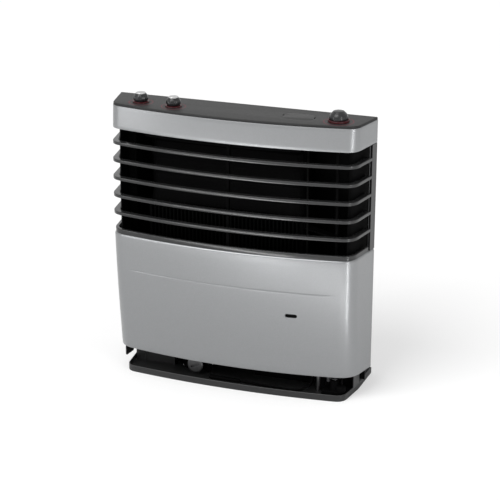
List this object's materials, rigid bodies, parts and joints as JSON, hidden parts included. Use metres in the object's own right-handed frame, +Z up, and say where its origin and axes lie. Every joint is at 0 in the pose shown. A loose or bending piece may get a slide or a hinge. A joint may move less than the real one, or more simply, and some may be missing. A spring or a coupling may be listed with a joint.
{
  "type": "wall mounted gas heater",
  "caption": "Upright room gas heater with a bowed silver cladding, wrap-round louvre grille, turning top knobs, lift-off battery lid and finned heat exchanger on a floor tray.",
  "frame": {"origin": "on the floor, in the wall plane, at mid width", "axes": "+Z up, -Y is the front that faces the room, +Y goes into the wall recess, +X is to the viewer's right"},
  "size_m": [0.48, 0.1807, 0.5274],
  "materials": {
    "silver_paint": "satin silver metallic paint",
    "grille_plastic": "fine moulded anthracite",
    "cap_plastic": "fine moulded dark grey",
    "tray_plastic": "moulded dark grey",
    "window_black": "gloss black lens",
    "zinc_sheet": "zinc coated sheet",
    "dark_sheet": "matt dark grey paint",
    "steel": "bright steel",
    "brass": "plain",
    "black_plastic": "black moulding",
    "knob_black": "gloss black",
    "knob_silver": "satin silver",
    "ring_red": "translucent red",
    "cell_wrap": "plain printed film",
    "cable_jacket": "black silicone jacket",
    "casting": "heat resisting black, cast",
    "cast_aluminium": "die cast",
    "ceramic": "glazed ceramic",
    "glass": "heat resisting glass"
  },
  "bodies": {
    "heater": {"base_plate": "tray_plastic", "installation_box": "dark_sheet", "fan_port_cover": "zinc_sheet", "bracket_left": "dark_sheet", "bracket_right": "dark_sheet", "cladding_clip_left": "steel", "cladding_clip_right": "steel", "grille_post_left": "grille_plastic", "grille_post_right": "grille_plastic", "lower_panel": "silver_paint", "pilot_window": "window_black", "bottom_rail": "grille_plastic", "grille_rib": "grille_plastic", "slat_1": "grille_plastic", "slat_2": "grille_plastic", "slat_3": "grille_plastic", "slat_4": "grille_plastic", "slat_5": "grille_plastic", "trim_band": "silver_paint", "top_panel": "cap_plastic", "battery_tray": "black_plastic", "battery_cell_1": "cell_wrap", "battery_cell_2": "cell_wrap", "ignition_unit": "black_plastic", "ignition_cable": "cable_jacket", "fan_control_1": "black_plastic", "fan_control_2": "black_plastic", "knob_ring_1": "ring_red", "knob_ring_2": "ring_red", "knob_ring_3": "ring_red", "gas_valve": "casting", "return_spring": "steel", "rod_guide": "zinc_sheet", "gas_inlet_pipe": "steel", "burner_gas_pipe": "cast_aluminium", "thermostat_sensor": "dark_sheet", "heat_exchanger": "casting", "exchanger_hood": "casting", "combustion_floor": "casting", "support_frame_1": "dark_sheet", "support_frame_2": "dark_sheet", "burner_housing": "zinc_sheet", "burner_cover": "dark_sheet", "sight_glass": "glass", "baffle_left": "dark_sheet", "burner": "steel", "ignition_electrode": "ceramic", "flame_sensor": "brass", "flue_outlet": "cast_aluminium", "flue_clamp": "cast_aluminium", "heat_deflector": "dark_sheet"},
    "thermostat_press": {"thrust_washer": "brass"},
    "thermostat_turn": {"thermostat_knob": "knob_black", "control_rod": "dark_sheet"},
    "fan_dial_1": {"fan_knob_1": "knob_black", "fan_knob_cap_1": "knob_silver"},
    "fan_dial_2": {"fan_knob_2": "knob_black", "fan_knob_cap_2": "knob_silver"},
    "lid": {"battery_lid": "cap_plastic"}
  },
  "joints": [
    {"name": "thermostat_press", "type": "slide", "parent": "heater", "child": "thermostat_press", "axis": [0, 0, -1], "range_m": [0, 0.004], "stiffness_N_per_m": 1500, "springref_m": -0.003, "deforming": ["return_spring"]},
    {"name": "thermostat_turn", "type": "hinge", "parent": "thermostat_press", "child": "thermostat_turn", "pos_m": [0.186, -0.051, 0.5], "axis": [0, 0, -1], "range_deg": [0, 250]},
    {"name": "fan_dial_1", "type": "hinge", "parent": "heater", "child": "fan_dial_1", "pos_m": [-0.178, -0.051, 0.51], "axis": [0, 0, -1], "range_deg": [0, 270]},
    {"name": "fan_dial_2", "type": "hinge", "parent": "heater", "child": "fan_dial_2", "pos_m": [-0.1135, -0.0575, 0.51], "axis": [0, 0, -1], "range_deg": [0, 270]},
    {"name": "battery_lid_lift", "type": "slide", "parent": "heater", "child": "lid", "axis": [0, 0, 1], "range_m": [0, 0.03]}
  ]
}
